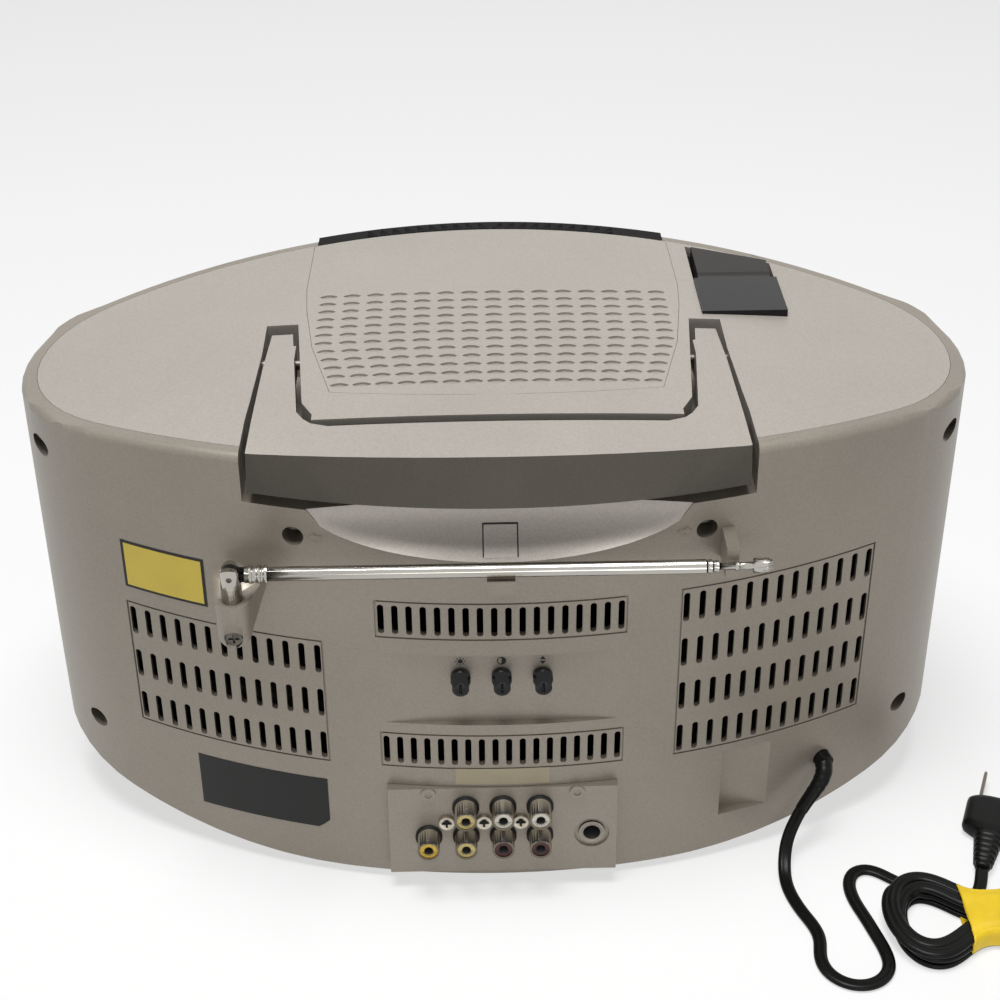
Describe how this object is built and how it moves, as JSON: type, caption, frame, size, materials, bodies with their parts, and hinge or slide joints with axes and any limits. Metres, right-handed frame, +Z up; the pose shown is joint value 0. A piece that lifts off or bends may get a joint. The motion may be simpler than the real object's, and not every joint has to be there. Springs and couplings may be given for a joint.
{
  "type": "karaoke machine with disc tray",
  "caption": "Table-top karaoke machine in a silver oval case with built-in monitor, disc tray, fold-up handle, telescopic aerial, rear jack board and mains cord.",
  "frame": {"origin": "middle of the underside of the feet, on the surface that the machine stands on", "axes": "+Z up; -Y is the front with the screen and the tray; +Y is the rear with the jacks and the aerial; +X is on the left in a view from behind"},
  "size_m": [0.4251, 0.2724, 0.1865],
  "materials": {
    "silver_case": "satin",
    "cover": "satin",
    "black_gloss": "gloss",
    "black_matte": "matte",
    "dark_slab": "satin",
    "chrome": "polished",
    "steel": "satin",
    "glass_tube": "polished",
    "foot_rubber": "matte",
    "yellow": "gloss",
    "red": "gloss",
    "white": "gloss",
    "beige": "gloss",
    "board_green": "satin",
    "cord_black": "satin",
    "lens": "polished",
    "transformer": "matte"
  },
  "bodies": {
    "case": {"rear_shell": "silver_case", "front_shell": "silver_case", "top_plate": "cover", "louvre_panel": "cover", "handle_pins": "steel", "case_screws": "steel", "feet": "foot_rubber", "monitor_bezel": "black_gloss", "picture_tube": "glass_tube", "speaker_drivers": "black_matte", "speaker_grilles": "black_matte", "disc_mechanism": "dark_slab", "mic_jacks": "black_matte", "camera_housing": "black_gloss", "camera_pin": "steel", "jack_board": "silver_case", "rca_shells": "chrome", "rca_insert_yellow": "yellow", "rca_inserts_beige": "beige", "rca_inserts_white": "white", "rca_inserts_red": "red", "jack_screws": "steel", "headphone_jack": "black_matte", "antenna_bracket": "silver_case", "antenna_screw": "steel", "main_board": "board_green", "power_transformer": "transformer", "cord_gland": "cord_black", "mains_cord": "cord_black", "cord_hank": "cord_black", "cord_tie": "yellow", "mains_plug": "cord_black"},
    "handle": {"handle": "cover"},
    "antenna_swivel": {"antenna_base": "chrome", "antenna_rivet": "steel"},
    "antenna_arm": {"antenna_elbow": "black_gloss", "antenna_tube_1": "chrome"},
    "antenna_stage_2": {"antenna_tube_2": "chrome"},
    "antenna_stage_3": {"antenna_tube_3": "chrome"},
    "antenna_tip": {"antenna_rod": "chrome"},
    "bright_knob": {"bright_knob": "black_gloss"},
    "contrast_knob": {"contrast_knob": "black_gloss"},
    "hold_knob": {"hold_knob": "black_gloss"},
    "camera": {"camera_head": "dark_slab", "camera_lens": "lens"},
    "tray": {"disc_tray": "black_matte", "tray_front": "silver_case"},
    "spindle": {"spindle": "steel"},
    "volume_knob": {"volume_knob": "black_matte"},
    "echo_knob": {"echo_knob": "black_matte"},
    "back_button": {"back_button": "cover"},
    "play_button": {"play_button": "cover"},
    "forward_button": {"forward_button": "cover"},
    "stop_button": {"stop_button": "cover"},
    "mode_button": {"mode_button": "cover"},
    "power_button": {"power_button": "red"}
  },
  "joints": [
    {"name": "handle_hinge", "type": "hinge", "parent": "case", "child": "handle", "pos_m": [0, 0.0091, 0.18], "axis": [1, 0, 0], "range_deg": [0, 95]},
    {"name": "antenna_turn", "type": "hinge", "parent": "case", "child": "antenna_swivel", "pos_m": [0.0932, 0.1048, 0.1488], "axis": [0, 0, 1], "range_deg": [-180, 0]},
    {"name": "antenna_tilt", "type": "hinge", "parent": "antenna_swivel", "child": "antenna_arm", "pos_m": [0.0932, 0.1048, 0.1488], "axis": [0, 1, 0], "range_deg": [0, 90]},
    {"name": "antenna_slide_1", "type": "slide", "parent": "antenna_arm", "child": "antenna_stage_2", "axis": [-1, 0, 0], "range_m": [0, 0.135]},
    {"name": "antenna_slide_2", "type": "slide", "parent": "antenna_stage_2", "child": "antenna_stage_3", "axis": [-1, 0, 0], "range_m": [0, 0.135]},
    {"name": "antenna_slide_3", "type": "slide", "parent": "antenna_stage_3", "child": "antenna_tip", "axis": [-1, 0, 0], "range_m": [0, 0.135]},
    {"name": "bright_turn", "type": "hinge", "parent": "case", "child": "bright_knob", "pos_m": [0.0149, 0.0991, 0.0971], "axis": [0, 1, 0], "range_deg": [-150, 150]},
    {"name": "contrast_turn", "type": "hinge", "parent": "case", "child": "contrast_knob", "pos_m": [0, 0.0991, 0.0971], "axis": [0, 1, 0], "range_deg": [-150, 150]},
    {"name": "hold_turn", "type": "hinge", "parent": "case", "child": "hold_knob", "pos_m": [-0.0149, 0.0991, 0.0971], "axis": [0, 1, 0], "range_deg": [-150, 150]},
    {"name": "camera_tilt", "type": "hinge", "parent": "case", "child": "camera", "pos_m": [-0.098, -0.0565, 0.1805], "axis": [-1, 0, 0], "range_deg": [0, 40]},
    {"name": "tray_slide", "type": "slide", "parent": "case", "child": "tray", "axis": [0, -1, 0], "range_m": [0, 0.125]},
    {"name": "spindle_spin", "type": "hinge", "parent": "case", "child": "spindle", "pos_m": [0, -0.0329, 0.049], "axis": [0, 0, 1], "continuous": true},
    {"name": "back_press", "type": "slide", "parent": "case", "child": "back_button", "axis": [0, 1, 0], "range_m": [0, 0.0015], "stiffness_N_per_m": 400},
    {"name": "play_press", "type": "slide", "parent": "case", "child": "play_button", "axis": [0, 1, 0], "range_m": [0, 0.0015], "stiffness_N_per_m": 400},
    {"name": "forward_press", "type": "slide", "parent": "case", "child": "forward_button", "axis": [0, 1, 0], "range_m": [0, 0.0015], "stiffness_N_per_m": 400},
    {"name": "stop_press", "type": "slide", "parent": "case", "child": "stop_button", "axis": [0, 1, 0], "range_m": [0, 0.0015], "stiffness_N_per_m": 400},
    {"name": "mode_press", "type": "slide", "parent": "case", "child": "mode_button", "axis": [0, 1, 0], "range_m": [0, 0.0015], "stiffness_N_per_m": 400},
    {"name": "power_press", "type": "slide", "parent": "case", "child": "power_button", "axis": [0, 1, 0], "range_m": [0, 0.0015], "stiffness_N_per_m": 400},
    {"name": "volume_turn", "type": "hinge", "parent": "case", "child": "volume_knob", "pos_m": [0.086, -0.09274, 0.064], "axis": [0.3629, -0.9318, 0], "range_deg": [-150, 150]},
    {"name": "echo_turn", "type": "hinge", "parent": "case", "child": "echo_knob", "pos_m": [-0.086, -0.09274, 0.064], "axis": [-0.3629, -0.9318, 0], "range_deg": [-150, 150]}
  ]
}
